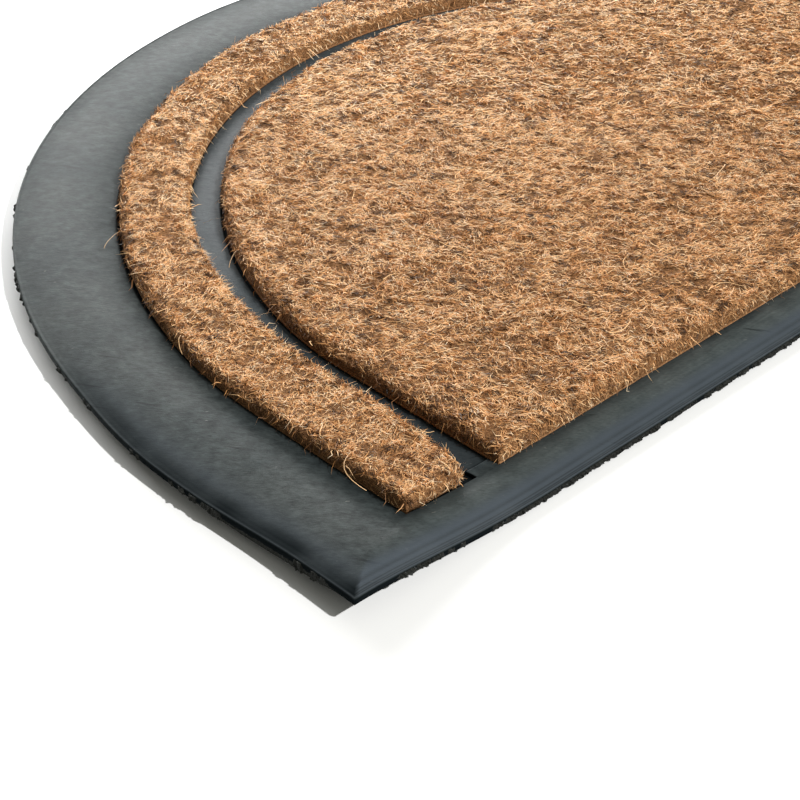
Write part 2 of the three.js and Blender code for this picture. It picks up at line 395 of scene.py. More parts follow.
def ring_cap(first, arch, front_steps, down):
    """Flat cap of a ring of arch points and front points: a strip between the arch's two halves."""
    half = arch // 2
    left = first + arch - 1 - np.arange(half)
    right = first + np.arange(half)
    a, b, c, d = left[:-1], right[:-1], right[1:], left[1:]
    strip = quads(a, b, c, d)
    apex = np.array([[left[-1], right[-1], first + half]])
    front = np.concatenate([first + arch + np.arange(front_steps - 1), [first]])
    front = np.stack([np.full(len(front) - 1, first + arch - 1), front[:-1], front[1:]], -1)
    faces = np.concatenate([strip, apex, front])
    return faces[:, ::-1] if down else faces


def bulge(x, y, inset):
    """How far the rim stands out past the plain outline in the middle of the left side."""
    along = smoothstep(-y, 55, 165) * (1 - smoothstep(-y, 170, 270))
    return SIDE_BULGE * along * smoothstep(-x, 150, 350) * (1 - smoothstep(inset, 0, 45))


# Rubber tray. Each row is one line round it: insets from the arch and the front edge, height, how much
# painted shade the arch side and the front side have there (trimmed side, slope to the rim, well, next to the
# pile), and how much cool painted reflection the front side's grey has.
TRAY_LINES = [
    (EDGE_REACH, 32, 0, 0, 0, 0), (96, 24, 0, 0, 0, 0), (58, 16, 0, 0, 0, 0), (24, 8, 0, 0, 0, 0),
    (6, 3, 0, 1, 1, 0), (0.8, 0.8, 0, 1, 1, 0), (0.2, 0.2, 0.4, 1, 1, 0), (0, 0, 1.4, 1, 1, 0),
    (0, 0, 2.9, 1, 1, 0), (0.1, 0.15, 3.6, 0.97, 0.97, 0), (0.4, 0.45, 4.05, 0.8, 0.4, 0.4),
    (0.8, 0.9, 4.25, 0.42, 0.05, 0.8), (1.3, 1.4, 4.25, 0.7, 0.5, 0.6), (1.7, 1.9, 4.1, 0.85, 0.7, 0.6),
    (2.1, 2.4, 3.9, 0.9, 0.3, 0.7), (2.7, 3.1, 3.88, 0.9, 0.5, 0.6), (3.4, 3.9, 3.97, 0.85, 0.15, 0.8),
    (4.4, 4.9, 3.93, 0.85, 0.45, 0.6), (5.4, 5.5, 3.96, 0.88, 0.15, 0.8), (6.4, 6.8, 4.05, 0.82, 0.1, 0.9),
    (9, 8.6, 4.2, 0.68, 0.3, 0.7), (12, 11, 4.5, 0.45, 0.08, 0.9), (16, 14, 4.9, 0.2, 0.05, 0.6),
    (21, 17, 5.3, 0.12, 0.03, 0.2), (28, 20, 5.65, 0.02, 0, 0.05), (35, 23, 5.8, 0, 0, 0),
    (43, 26, 5.7, 0.02, 0.03, 0), (50, 28.5, 5.4, 0.14, 0.2, 0), (56, 30.5, 5.1, 0.32, 0.36, 0),
    (61, 32.2, 4.85, 0.5, 0.47, 0), (64.6, 33.3, 4.72, 0.6, 0.53, 0), (65.6, 33.8, 4.62, 0.7, 0.56, 0),
    (66, 34, 4.3, 0.8, 0.8, 0), (66, 34, WELL_FLOOR, 1, 1, 0), (80, 44, WELL_FLOOR, 1, 1, 0),
    (97, 56, WELL_FLOOR, 1, 1, 0), (116, 68, WELL_FLOOR, 1, 1, 0), (EDGE_REACH, 80, WELL_FLOOR, 1, 1, 0),
]
# Share of the arch side's painted shade that it keeps away from the left front, for insets up to each limit.
LEAST_PAINTED_SHADE = [(45, 0.15), (65, 0.5), (math.inf, 1.0)]

# Steps along a straight side, round the arch and along the front.
TRAY_STEPS = (50, 340, 260)
FLASH_STEPS = (130, 1180, 820)

# Section of the torn skin: how far out, height, share of the tears, and share of the skirt's drop.
FLASH_SECTION = [
    (-1.6, 3.5, 0, 0), (0.0, 3.45, 0.6, 0), (0.15, 2.3, 1, 0.4), (0.1, 0.9, 0.8, 1), (-1.4, 0.3, 0, 1),
]
FLASH_INSET = 0.3
TEAR_LENGTH = (0.1, 2.2)
SKIRT_DROP = 3.0  # how far the skin hangs below the curled left side
LEAST_HEIGHT = 0.1


def left_front_share(x, y):
    """From 0 to 1 as the arch comes down its left side to the front corner."""
    return smoothstep(-y, -10, 170) * smoothstep(-x, 100, 300)


def rubber_tray(material):
    side, arc, front = TRAY_STEPS
    wobble = Noise(11, 60)
    ripple = Noise(12, 7)
    blotch = Noise(14, 16)
    rows, painted_shade, painted_reflection, painted_front_sheen = [], [], [], []
    for inset, front_inset, z, arch_painted_shade, front_painted_shade, front_painted_reflection in TRAY_LINES:
        plan, outward = closed_ring(inset, front_inset, side, arc, front)
        on_front = np.arange(len(plan)) >= len(plan) - (front - 1)
        plan += outward * (~on_front * bulge(*plan.T, inset))[:, None]
        x, y = plan.T
        top = smoothstep(np.full(len(plan), float(z)), 1, 4)
        height = z + top * (0.12 * wobble(x, y) + 0.035 * ripple(x, y))
        rows.append(placed(plan, height))
        share = left_front_share(x, y)
        least = next(value for limit, value in LEAST_PAINTED_SHADE if inset < limit)
        # Painted shade on the arch side, strongest toward the left front, with a random blotch in its
        # strength.
        tone = np.where(on_front, front_painted_shade, arch_painted_shade * (least + (1 - least) * share))
        if 2 < inset < ARCH_BORDER:
            tone = tone * (1 + 0.25 * blotch(x, y))
        painted_shade.append(np.clip(tone, 0, 1))
        # Painted reflection: a cool, lighter grey on the front side, and half as much on the arch near the
        # left front.
        painted_reflection.append(np.clip(np.where(on_front, front_painted_reflection, 0.5 * front_painted_reflection * share), 0, 1))
        # Painted sheen on the front border, lighter toward the right.
        from_side = x + ARCH_RADIUS - front_inset
        fade = smoothstep(from_side, 0, 60) * (0.6 + 0.4 * smoothstep(from_side, 60, 330))
        painted_front_sheen.append(on_front * fade)
    count = len(rows[0])
    points = np.concatenate(rows)
    arch = count - (front - 1)
    triangles = [closed_grid(len(rows), count), ring_cap(0, arch, front, down=True),
                 ring_cap(len(points) - count, arch, front, down=False)]
    return mesh_object("tray_rubber", points, np.concatenate(triangles), material,
                       attributes=[("painted_shade", np.concatenate(painted_shade)), ("painted_reflection", np.concatenate(painted_reflection)),
                                   ("front", np.concatenate(painted_front_sheen))])


def rim_flash(material):
    """Ragged skin of torn rubber on the trimmed side, in bursts, most of them along the front edge."""
    plan, outward = closed_ring(FLASH_INSET, FLASH_INSET, *FLASH_STEPS)
    count = len(plan)
    rng = np.random.default_rng(41)
    on_front = np.arange(count) >= count - (FLASH_STEPS[-1] - 1)
    plan += outward * (~on_front * bulge(*plan.T, 0))[:, None]
    x, y = plan.T
    bursts = 0.7 * Noise(42, 22)(x, y) + 0.75 * Noise(43, 3.2)(x, y)
    torn = smoothstep(bursts, np.where(on_front, -0.6, 0.24), np.where(on_front, 0.25, 0.6))
    skirt = ~on_front * smoothstep(-y, 165, 240) * (1 - smoothstep(-y, 266, 302)) * smoothstep(-x, 300, 400)
    near_corner = np.hypot(x + ARCH_RADIUS, y - FRONT_Y)
    torn = torn * smoothstep(near_corner, 12, 40)
    rows = []
    for out, z, share, hang in FLASH_SECTION:
        jag = 0.12 * rng.uniform(-1, 1, count) + torn * rng.uniform(*TEAR_LENGTH, count)
        lift = share * torn * rng.uniform(-0.5, 0.5, count) - SKIRT_DROP * hang * skirt
        ring = plan + outward * (out + share * jag)[:, None]
        row = placed(ring, z + lift)
        row[:, 2] = np.maximum(row[:, 2], LEAST_HEIGHT)
        rows.append(row)
    points = np.stack(rows)
    points = np.concatenate([points, points[:1]]).reshape(-1, 3)
    merged = closed_grid(len(rows) + 1, count) % (len(rows) * count)
    return mesh_object("rim_flash", points[:len(rows) * count], merged[:, ::-1], material, smooth=False)


# Front end of the groove's rubber: distance from the border, lift over the groove and how much shade is
# painted on it.
# Level with the border first, then a thin raised line and the drop to the groove.
GROOVE_TAB = [(-1.6, 0.9, 0.45), (0, 0.85, 0.45), (3.4, 0.8, 0.42), (6.2, 0.85, 0.35), (6.8, 1.05, 0.05),
              (7.1, 0.1, 1.0), (7.7, 0.0, 0.95), (9, 0.0, 0.6), (12, 0.0, 0.4)]
# How far the left end of the tab is cut in, and how far that cut reaches before it fades.
TORN_TAB, TORN_REACH = 3.5, 6
GROOVE_ARC_STEPS = 420

# Section of the groove's rubber: share of its width, height and how much shade is painted there, full at its
# walls.
GROOVE_SECTION = [
    (0, WELL_FLOOR - 0.3, 1), (0, GROOVE_TOP - 0.3, 1), (0.02, GROOVE_TOP - 0.05, 0.5),
    (0.06, GROOVE_TOP + 0.05, 0.1), (0.3, GROOVE_TOP - 0.05, 0), (0.5, GROOVE_TOP - 0.1, 0),
    (0.7, GROOVE_TOP - 0.05, 0), (0.94, GROOVE_TOP + 0.05, 0.2), (0.98, GROOVE_TOP - 0.05, 0.6),
    (1, GROOVE_TOP - 0.3, 1), (1, WELL_FLOOR - 0.3, 1),
]


def groove_strip(material):
    """The rubber between the two wells, a little lower than the borders."""
    tab_y, tab_lift, tab_painted_shade = np.array(GROOVE_TAB).T
    near_front = FRONT_Y + FRONT_BORDER + tab_y
    straight = np.concatenate([near_front, np.linspace(near_front[-1], ARCH_CENTRE_Y, 40)[1:-1]])
    ridge = np.interp(straight, near_front, tab_lift)
    tab = np.interp(straight, near_front, tab_painted_shade)
    outer = arch_points(ARCH_BORDER + BAND_WIDTH, straight, GROOVE_ARC_STEPS)
    past_cut = smoothstep(straight[::-1], near_front[0] + TORN_REACH, near_front[-1])
    outer[-len(straight):, 0] += TORN_TAB * (1 - past_cut)
    inner = arch_points(PANEL_INSET, straight, GROOVE_ARC_STEPS)
    lift, end_painted_shade = np.zeros(len(outer)), np.zeros(len(outer))
    lift[:len(straight)], end_painted_shade[:len(straight)] = ridge, tab
    lift[-len(straight):], end_painted_shade[-len(straight):] = ridge[::-1], tab[::-1]
    wobble = Noise(13, 40)
    rows, painted_shade = [], []
    for across, z, dark in GROOVE_SECTION:
        plan = outer + (inner - outer) * across
        top = z > WELL_FLOOR
        rows.append(placed(plan, z + top * lift + 0.1 * wobble(*plan.T)))
        # Painted shade toward the front on the left, where the pile's sides shade the groove.
        shaded = 0.5 * smoothstep(arch_angle(*plan.T), 152, 178) * (lift < 0.1)
        painted_shade.append(np.clip(np.maximum(dark + shaded, end_painted_shade), 0, 1))
    points = np.stack(rows, 1).reshape(-1, 3)
    painted_shade = np.stack(painted_shade, 1).ravel()
    # Painted reflection: a cooler grey toward the groove's front end.
    painted_reflection = 0.3 * smoothstep(points[:, 1], near_front[0], near_front[-1])
    return mesh_object("groove_rubber", points, carried_section(len(outer), len(GROOVE_SECTION)), material,
                       attributes=[("painted_shade", painted_shade), ("painted_reflection", painted_reflection)])


# Coir.

# Rounded rim of the pile: how far in from its side, and the height there.
RIM_DISTANCE = np.array([0, 0.5, 1.6, 3.4, 6.0, 9.5, 14])
RIM_HEIGHT = np.array([10.6, 12.3, 13.5, 14.3, 14.8, 15.0, 15.1])
RIM_POINTS = 5  # those of them that the side fibres cover
BED_DROP = 1.1
BASE_TOP = 4.7
BASE_ROWS = [(WELL_FLOOR + BED_GAP, 1), (BASE_TOP - 0.3, 1), (BASE_TOP + 0.3, 0)]

# Holes torn in the pile: place and radius.
HOLES = [(-361, -265, 3.8), (-315, -256, 6.0), (-343, -266, 2.6), (-207, -155, 2.2), (-102, -256, 3.4)]
HOLE_DEPTH = 3.0

# The pile stands off its well on the arch's left side, and leans and swells over the groove there.
LEFT_GAP = 1.5
LEAN_REACH, LEAN_OVER, LEAN_SWELL = 8.5, 2.6, 1.6

# Torn corner at the strip's inner front end: how much is gone across the strip and along it.
CUT_ACROSS, CUT_ALONG = 5.5, 10.0
CUT_SIZE = math.hypot(CUT_ACROSS, CUT_ALONG)

# How far tufts, single fibres and broad mats move the rim's line.
TUFT_OUT, FRAY_OUT, MAT_OUT = 2.1, 1.1, 0.9

# Steps round the arch of the strip's bed, the panel's bed and the lines that the side fibres stand on, and
# steps of such a line along a straight side, the front and the strip's end.
BED_ARC_STEPS, PANEL_ARC_STEPS, SIDE_ARC_STEPS = 260, 200, 300
SIDE_STEPS, FRONT_STEPS, END_STEPS = 40, 200, 20

# No fibre lies lower than this, and one that rises over the high mark loses a share of the rest.
FIBRE_LOW = 4.2
FIBRE_HIGH = 20.5
FIBRE_SAG = 0.7

# Shades run from 0, dark, to 1, pale: mean and spread on top and on the cut sides, whose lower mean is
# painted shade, and the range of the dark fibres among those on top, with their share.
TOP_SHADE, WALL_SHADE = (0.8, 0.2), (0.47, 0.24)
DARK_SHADE, DARK_SHARE = (0.02, 0.2), 0.08
LEAST_SHADE = 0.02

# Fibres for each square millimetre, the share of them that the far half keeps, and for the strip the share
# of its area that counts as top and how much closer its fibres stand.
DENSITY = 0.95
FAR_SHARE = 0.48
BAND_TOP_SHARE, BAND_EXTRA = 0.84, 1.1
PANEL_PIECES = 4

DIMPLES = Noise(22, 9)
CLUMPS = Noise(31, 2.9, 2.0, COMB_HEADING)
HOLLOWS = Noise(34, 6.5, 1.5, COMB_HEADING)
TUFTS = Noise(35, 5.5)
SWIRLS = Noise(36, 52)
LOCKS = Noise(37, 6.5, 1.7, COMB_HEADING)
LOCK_TONES = Noise(38, 1.7, 2.0, COMB_HEADING)
CLOUDS = Noise(32, 40)
PITS = Noise(44, 3.0, 1.7, COMB_HEADING)
MATS = Noise(45, 12)
PARTINGS = Noise(39, 5, 2.4, COMB_HEADING + 0.25)
FRAY = Noise(40, 2.4)


def lump(x, y):
    """Soft hollows and swells of the pile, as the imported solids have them."""
    total = 0
    for length, heading, share in LUMP_WAVES:
        a = math.radians(heading)
        total = total + share * np.sin(2 * math.pi * (x * math.cos(a) + y * math.sin(a)) / length)
    return total


def hollow(x, y):
    return smoothstep(HOLLOWS(x, y) + 0.35 * DIMPLES(x + 90, y), 0.5, 0.95)


def hole(x, y, reach=1.0):
    depth = 0
    for at_x, at_y, radius in HOLES:
        away = np.hypot(x - at_x, y - at_y) / reach
        depth = np.maximum(depth, 1 - smoothstep(away, 0.4 * radius, radius))
    return depth


def turned_away(x_part):
    """How far a side faces left, out of the light, from its normal's X."""
    return np.clip(-1.6 * x_part - 0.25, 0, 1)


def pit(x, y):
    return np.maximum(smoothstep(PITS(x, y), 0.4, 0.64), hole(x, y))


def crease(x, y):
    """Short partings between locks, sunk and with painted shade."""
    line = 1 - smoothstep(np.abs(PARTINGS(x, y)), 0.03, 0.2)
    return line * smoothstep(DIMPLES(x, y + 70) + 0.5 * TUFTS(x, y), 0.0, 0.5)


def left_gap(x, y):
    """Extra gap between pile and rubber on the arch's left side, where the pile stands off its well."""
    angle = arch_angle(x, y)
    return LEFT_GAP * smoothstep(angle, 128, 146) * (1 - smoothstep(angle, 160, 176))


def lean(x, y):
    """0 to 1 on the left, where the strip leans over the groove."""
    return smoothstep(arch_angle(x, y), 140, 166) * smoothstep(y, FRONT_Y + 37, FRONT_Y + 115)


def corner_cut(across, along):
    """How far in from the torn corner at the strip's inner front end."""
    return (across * CUT_ALONG + along * CUT_ACROSS - CUT_ACROSS * CUT_ALONG) / CUT_SIZE


class Pile:
    """One coir pile: its sides are lines parallel to the arch and the front edge."""

    def __init__(self, outer, inner=None):
        self.outer = outer + SIDE_GAP
        self.inner = None if inner is None else inner - SIDE_GAP
        self.front = FRONT_Y + FRONT_BORDER + SIDE_GAP

    def distance(self, x, y):
        """How far in from the nearest side, rounded a little at the corners."""
        inset = inset_of(x, y)
        sides = [inset - self.outer - left_gap(x, y), y - self.front]
        if self.inner is not None:
            across = self.inner - inset
            sides.append(across + LEAN_REACH * lean(x, y))
            sides.append(corner_cut(across, y - self.front))
        return -np.log(sum(np.exp(np.minimum(-side, 60)) for side in sides))

    def covers(self, x, y, margin):
        """Whether the pile's top reaches over a plan point."""
        inside = self.distance(x, y) > margin
        if self.inner is not None:
            inside &= self.inner - inset_of(x, y) > 0.4 - LEAN_OVER * lean(x, y)
        return inside

    def body(self, x, y):
        """Height of the pile's smooth form."""
        d = self.distance(x, y)
        torn = TUFT_OUT * TUFTS(x, y) + FRAY_OUT * FRAY(x, y)
        ragged = d + torn * smoothstep(d, -1, 2) * (1 - smoothstep(d, 6, 12)) - MAT_OUT * MATS(x, y)
        rim = np.interp(ragged, RIM_DISTANCE, RIM_HEIGHT)
        if self.inner is not None:
            rim = rim + LEAN_SWELL * lean(x, y) * (1 - smoothstep(self.inner - inset_of(x, y), -2, 22))
        relief = LUMP_HEIGHT * lump(x, y) + 0.6 * DIMPLES(x, y) - 1.4 * hollow(x, y) - 0.9 * crease(x, y)
        return rim + relief * smoothstep(d, 0, 8) - HOLE_DEPTH * hole(x, y)

    def frame(self, plan, step=0.8):
        """Points on the smooth form and its unit normals."""
        x, y = plan.T
        z = self.body(x, y)
        slope_x = (self.body(x + step, y) - z) / step
        slope_y = (self.body(x, y + step) - z) / step
        normal = np.column_stack([-slope_x, -slope_y, np.ones(len(x))])
        return placed(plan, z), unit(normal)


PANEL = Pile(PANEL_INSET)
BAND = Pile(ARCH_BORDER, ARCH_BORDER + BAND_WIDTH)
PANEL_RADIUS = ARCH_RADIUS - PANEL_INSET
PANEL_AREA = plan_area(PANEL_RADIUS, PANEL.front)


def near_ends(start, end, count):
    """Places from start to end, close together near both ends as the rim's section needs."""
    half = (end - start) / 2
    clustered = RIM_DISTANCE * min(1, half / (2.2 * RIM_DISTANCE[-1]))
    between = np.linspace(start + clustered[-1], end - clustered[-1], count - 2 * len(clustered) + 2)
    return np.concatenate([start + clustered, between[1:-1], end - clustered[::-1]])


def straight_places(front, count):
    rest = np.linspace(front + RIM_DISTANCE[-1], ARCH_CENTRE_Y, count + 1)
    return np.concatenate([front + RIM_DISTANCE, rest[1:-1]])


def pushed_in(points):
    """Arch points moved in by the gap on the left side."""
    return points - arch_outward(points) * left_gap(*points.T)[:, None]


def clear_of_cut(plan):
    """Points of the strip moved out of its torn corner."""
    across = BAND.inner - inset_of(*plan.T)
    depth = np.maximum(0, -corner_cut(across, plan[:, 1] - BAND.front))[:, None]
    return plan + depth * (arch_outward(plan) * CUT_ALONG + np.array([0, CUT_ACROSS])) / CUT_SIZE


def band_bed(material):
    """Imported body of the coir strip: its section carried along the well from end to end."""
    straight = straight_places(BAND.front, 20)
    outer = pushed_in(arch_points(BAND.outer, straight, BED_ARC_STEPS))
    inner = arch_points(BAND.inner, straight, BED_ARC_STEPS)
    width = BAND.inner - BAND.outer
    places = near_ends(0, width, 20) / width
    rows = [(0, z, base) for z, base in BASE_ROWS] + [(p, None, 0) for p in places]
    rows += [(1, z, base) for z, base in BASE_ROWS[::-1]]
    over = inner - arch_outward(inner) * (LEAN_OVER * lean(*inner.T))[:, None]
    points, tones = [], []
    for place, z, base in rows:
        plan = clear_of_cut(outer + ((over if z is None else inner) - outer) * place)
        height = BAND.body(*plan.T) - BED_DROP if z is None else np.full(len(plan), z)
        points.append(placed(plan, height))
        tones.append(np.full(len(plan), float(base)))
    points = np.stack(points, 1).reshape(-1, 3)
    tones = np.stack(tones, 1).ravel()
    return mesh_object("band_bed", points, carried_section(len(outer), len(rows)), material,
                       attributes=[("base", tones)])


def panel_bed(material):
    """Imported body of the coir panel: rings up its side, and a top of rows from side to side."""
    columns = 130
    straight = straight_places(PANEL.front, 24)
    arch_line = pushed_in(arch_points(PANEL.outer, straight, PANEL_ARC_STEPS))
    arch = len(arch_line)
    half = arch // 2
    reach = ARCH_RADIUS - PANEL.outer
    x = near_ends(-reach, reach, columns + 1)[1:-1]
    ring = np.concatenate([arch_line, np.stack([x, np.full_like(x, PANEL.front)], -1)])
    rows = [placed(ring, np.full(len(ring), z)) for z, _ in BASE_ROWS]
    rows.append(placed(ring, PANEL.body(*ring.T) - BED_DROP))
    tones = [np.full(len(ring), float(base)) for _, base in BASE_ROWS] + [np.zeros(len(ring))]
    count = len(ring)
    triangles = [closed_grid(len(rows), count), ring_cap(0, arch, columns, down=True)]
    start = (len(rows) - 1) * count
    index = [np.concatenate([[start + arch - 1], start + arch + np.arange(columns - 1), [start]])]
    following = start + count
    for step in range(1, half):
        left, right = arch_line[arch - 1 - step], arch_line[step]
        x = near_ends(left[0], right[0], columns + 1)[1:-1]
        y = np.interp(x, [left[0], right[0]], [left[1], right[1]])
        rows.append(placed(np.stack([x, y], -1), PANEL.body(x, y) - BED_DROP))
        tones.append(np.zeros(columns - 1))
        inside = following + np.arange(columns - 1)
        index.append(np.concatenate([[start + arch - 1 - step], inside, [start + step]]))
        following += columns - 1
    index = np.array(index)
    a, b, c, d = index[:-1, :-1], index[:-1, 1:], index[1:, 1:], index[1:, :-1]
    triangles.append(quads(a, b, c, d))
    last = index[-1]
    triangles.append(np.stack([last[:-1], last[1:], np.full(len(last) - 1, start + half)], -1))
    return mesh_object("panel_bed", np.concatenate(rows), np.concatenate(triangles), material,
                       attributes=[("base", np.concatenate(tones))])


def ribbons(rng, steps, root, along, normal, length, depth, rise, end, width, shade, bend=0.28, wave=0.12):
    """Fibres as flat ribbons of some steps that narrow to a tip. Each starts at its root at a depth under
    the surface, rises over it along its own direction and bends sideways, and its tip lies at a height."""
    count = len(root)
    across = unit(np.cross(normal, along))
    bends = rng.normal(0, bend, count)
    waves = rng.normal(0, wave, count)
    roll = rng.uniform(-1.1, 1.1, count)
    flat = across * np.cos(roll)[:, None] + normal * np.sin(roll)[:, None]
    points = np.empty((count, 2 * steps + 1, 3))
    tone = np.empty((count, 2 * steps + 1))
    for k in range(steps + 1):
        t = k / steps
        sideways = length * (bends * t * t + waves * math.sin(2 * math.pi * t))
        height = -depth * (1 - t) ** 2 + 4 * rise * t * (1 - t) + end * t * t
        centre = root + along * (length * t)[:, None] + across * sideways[:, None] + normal * height[:, None]
        half = flat * (width * (1 - 0.35 * t) / 2)[:, None]
        # Painted shade: the fibre darker toward its root.
        dark = shade * (1 - 0.5 * (1 - t) ** 2)
        if k < steps:
            points[:, 2 * k], points[:, 2 * k + 1] = centre - half, centre + half
            tone[:, 2 * k] = tone[:, 2 * k + 1] = dark
        else:
            points[:, 2 * k], tone[:, 2 * k] = centre, dark
    pattern = [[2 * k, 2 * k + 1, 2 * k + 3] for k in range(steps - 1)]
    pattern += [[2 * k, 2 * k + 3, 2 * k + 2] for k in range(steps - 1)]
    pattern += [[2 * steps - 2, 2 * steps - 1, 2 * steps]]
    triangles = np.array(pattern)[None] + (2 * steps + 1) * np.arange(count)[:, None, None]
    return points.reshape(-1, 3), triangles.reshape(-1, 3), np.clip(tone.ravel(), 0, 1)


def scatter(rng, count, inside, bounds):
    """Count plan points, even at random, where inside says so."""
    found, total = [], 0
    while total < count:
        x = rng.uniform(*bounds[:2], count)
        y = rng.uniform(*bounds[2:], count)
        keep = inside(x, y)
        found.append(np.stack([x[keep], y[keep]], -1))
        total += keep.sum()
    return np.concatenate(found)[:count]


def pile_shade(rng, x, y, rise):
    """Shade of fibres: mostly tan, by locks, with painted shade in hollows, creases and pits, painted light
    on the tops of clumps and toward the back, and darker toward the front edge.
    """
    lock_share = 0.2 - 0.08 * smoothstep(y, -150, 100)
    # Painted light: paler on the tops of clumps.
    shade = rng.normal(*TOP_SHADE, len(x)) + lock_share * LOCK_TONES(x, y) + 0.05 * CLOUDS(x, y) + 0.14 * rise
    # The pale mats are the fibre's own tone; the rise toward the back is painted light.
    shade += 0.1 * smoothstep(MATS(x, y), 0.2, 0.8) + 0.23 * smoothstep(y, -130, 180)
    # Darker toward the front edge.
    shade -= 0.07 * (1 - smoothstep(y - FRONT_Y, 40, 190))
    # Painted shade in hollows, creases, pits and holes.
    shade = shade * (1 - 0.6 * hollow(x, y)) * (1 - 0.6 * crease(x, y)) * (1 - 0.92 * pit(x, y))
    dark = rng.random(len(x)) < DARK_SHARE
    return np.clip(np.where(dark, rng.uniform(*DARK_SHADE, len(x)), shade), LEAST_SHADE, 1)


def pile_fibres(rng, pile, plan, spread, swirl, short=1.0, bend=0.4, wave=0.18):
    """Fibres of the pile's top and rounded rim. On the flat they lie along the comb, in locks, and on the
    rim most of them hang over it."""
    x, y = plan.T
    count = len(x)
    root, normal = pile.frame(plan)
    clump = CLUMPS(x, y)
    root[:, 2] += (0.9 * clump - 1.2 * pit(x, y)) * smoothstep(pile.distance(x, y), -1, 4)
    heading = COMB_HEADING + rng.normal(0, spread, count) + 0.45 * SWIRLS(x, y) + swirl * LOCKS(x, y)
    heading += math.pi * (rng.random(count) < 0.22)
    along = np.column_stack([np.cos(heading), np.sin(heading), np.zeros(count)])
    coarse = 1 - share_shown(x, y)
    length = short * (1 + 0.2 * coarse) * np.clip(rng.lognormal(math.log(5.2), 0.42, count), 2, 14)
    length *= 1 - 0.65 * hole(x, y, 1.9)
    tip = plan + along[:, :2] * length[:, None]
    over = pile.distance(*tip.T) < 0.3
    turned = over & (rng.random(count) < 0.9) & (normal[:, 2] > 0.75)
    along[turned] *= -1
    along -= normal * np.sum(along * normal, axis=1, keepdims=True)
    steep = np.clip(smoothstep(1 - normal[:, 2], 0.08, 0.45) - 0.25 * rng.random(count), 0, 1)[:, None]
    sign = np.where(rng.random(count) < 0.75, 1.0, -1.0)[:, None]
    flat_part = normal * normal[:, 2:]
    downhill = unit(flat_part - [0, 0, 1] + 1e-9) * sign
    wild = rng.normal(0, 0.35, (count, 3))
    along = unit(unit(along) * (1 - steep) + downhill * steep + wild * (0.3 + 0.7 * steep))
    along = unit(along - 0.75 * normal * np.sum(along * normal, axis=1, keepdims=True))
    along[:, 2] = np.minimum(along[:, 2], 0.35)
    room = np.where(along[:, 2] < -0.2, (root[:, 2] - curl(x, y) - BASE_TOP + 0.8) / -along[:, 2], 99)
    length = np.clip(length, 1.5, np.maximum(1.6, room))
    rise = rng.uniform(-0.25, 0.55, count)
    end = rng.uniform(-1.1, 0.7, count)
    middle = plan + along[:, :2] * length[:, None] / 2
    to_front = np.clip(-1.3 * normal[:, 1], 0, 1)
    # Painted shade on the steep rim, except where it faces the front, and on sides that face left, out of the
    # light.
    shade = pile_shade(rng, *middle.T, 0.9 * clump + rise) * (1 - 0.28 * steep[:, 0] * (1 - to_front))
    shade *= 1 - 0.68 * turned_away(normal[:, 0])
    arguments = [root, along, normal, length, rng.uniform(1.1, 2.0, count), rise, end,
                 rng.uniform(0.28, 0.6, count) * (1 + 0.45 * coarse), shade]
    long = length > 8
    return [ribbons(rng, steps, *(a[chosen] for a in arguments), bend, wave)
            for steps, chosen in ((2, ~long), (3, long))]


def wall_height(pile, plan):
    return np.clip(pile.body(*plan.T), 8, 15)


def wall_fibres(rng, pile, plan, outward):
    """Fibres of the upright cut side: matted along it, some hanging and some standing, in uneven tufts."""
    count = len(plan)
    x, y = plan.T
    flat_out = np.column_stack([outward, np.zeros(count)])
    tangent = np.column_stack([-outward[:, 1], outward[:, 0], np.zeros(count)])
    angle = rng.normal(math.pi / 2, 0.5, count)
    along = tangent * np.cos(angle)[:, None] + np.array([0, 0, 1]) * np.sin(angle)[:, None]
    hanging = rng.random(count) < 0.5
    along[hanging] *= -1
    wall = wall_height(pile, plan)
    z = BASE_TOP - 0.8 + (wall + 1.2 - BASE_TOP) * rng.random(count)
    z = np.where(hanging, z + 1.6, z)
    tuft = TUFTS(x * 1.7, y * 1.7 + 3 * z)
    over = 0
    if pile.inner is not None:
        is_inner = np.abs(pile.inner - inset_of(x, y)) < 1
        over = is_inner * LEAN_OVER * lean(x, y) * smoothstep(z, BASE_TOP, 13)
    root = placed(plan, z) + flat_out * (over - 0.7 + 1.6 * tuft - 0.6 * (z > wall))[:, None]
    length = np.clip(rng.lognormal(math.log(3.6), 0.38, count), 1.6, 8)
    room = np.where(hanging, z - BASE_TOP + 0.9, wall + 3.5 - z)
    length = np.clip(length, 1.2, np.maximum(1.3, room / np.maximum(np.abs(np.sin(angle)), 0.3)))
    # Painted light on sides that face the front.
    shade = rng.normal(*WALL_SHADE, count) + 0.24 * tuft + 0.22 * np.clip(-outward[:, 1], 0, 1) ** 4
    # Painted shade on sides that face left and in the hollows between tufts.
    away = turned_away(outward[:, 0])
    shade *= (1 - 0.84 * away) * (1 - 0.88 * smoothstep(-tuft, 0.02, 0.42))
    # Painted highlights: a few pale lit strands, more of them on the shaded sides.
    lit = rng.random(count) < 0.1 + 0.12 * away
    shade = np.clip(np.where(lit, rng.uniform(0.5, 0.8, count) + 0.15 * away, shade), LEAST_SHADE, 1)
    length[lit] *= 1.3
    return [ribbons(rng, 2, root, along, flat_out, length, np.full(count, 0.6), rng.uniform(-0.1, 0.6, count),
                    rng.uniform(-0.5, 0.8, count) + 0.5 * tuft, rng.uniform(0.23, 0.48, count), shade, 0.4)]


def fibre_object(name, parts, material):
    points, triangles, tones = [], [], []
    first = 0
    for p, t, s in parts:
        points.append(p)
        triangles.append(t + first)
        tones.append(s)
        first += len(p)
    points = np.concatenate(points)
    raised = curl(*points[:, :2].T)
    height = points[:, 2] - raised
    height -= FIBRE_SAG * np.maximum(height - FIBRE_HIGH, 0)
    points[:, 2] = np.maximum(height, FIBRE_LOW) + raised
    return mesh_object(name, points, np.concatenate(triangles), material,
                       attributes=[("shade", np.concatenate(tones))])


